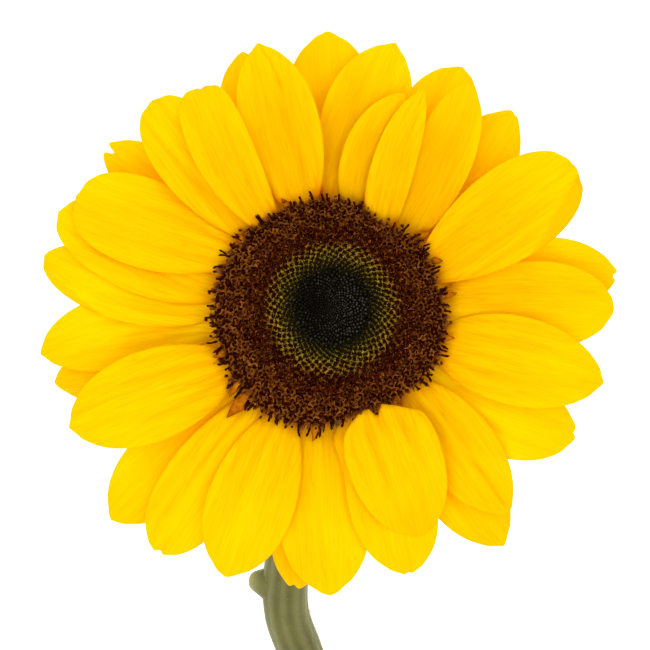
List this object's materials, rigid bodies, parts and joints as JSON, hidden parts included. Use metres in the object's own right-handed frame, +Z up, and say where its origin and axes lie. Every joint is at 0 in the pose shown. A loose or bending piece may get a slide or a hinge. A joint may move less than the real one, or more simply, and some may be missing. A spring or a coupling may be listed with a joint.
{
  "type": "cut sunflower",
  "caption": "Cut sunflower lying down: a stripped stem along the surface, a bent neck and a wide flower head with a dark disc that faces up.",
  "frame": {"origin": "on the surface that the flower lies on, under the middle of its bounding box", "axes": "+Y along the stem towards the head, +Z up, +X to the right of someone who looks at the face with the stem towards them"},
  "size_m": [0.1499, 0.3931, 0.0775],
  "materials": {
    "ray_yellow": "satin yellow petal, deeper towards the disc",
    "floret_brown": "rust-brown open florets with near-black stigmas",
    "bud_olive": "olive-yellow bud scales over dark cells",
    "bud_dark": "dark, slightly glossy buds",
    "bract_green": "matt hairy green",
    "stem_green": "matt greyish olive green, finely hairy"
  },
  "bodies": {
    "root": {"ray_florets": "ray_yellow", "disc_florets": "floret_brown", "bud_ring": "bud_olive", "bud_heart": "bud_dark", "involucre": "bract_green", "stem": "stem_green"}
  },
  "joints": []
}
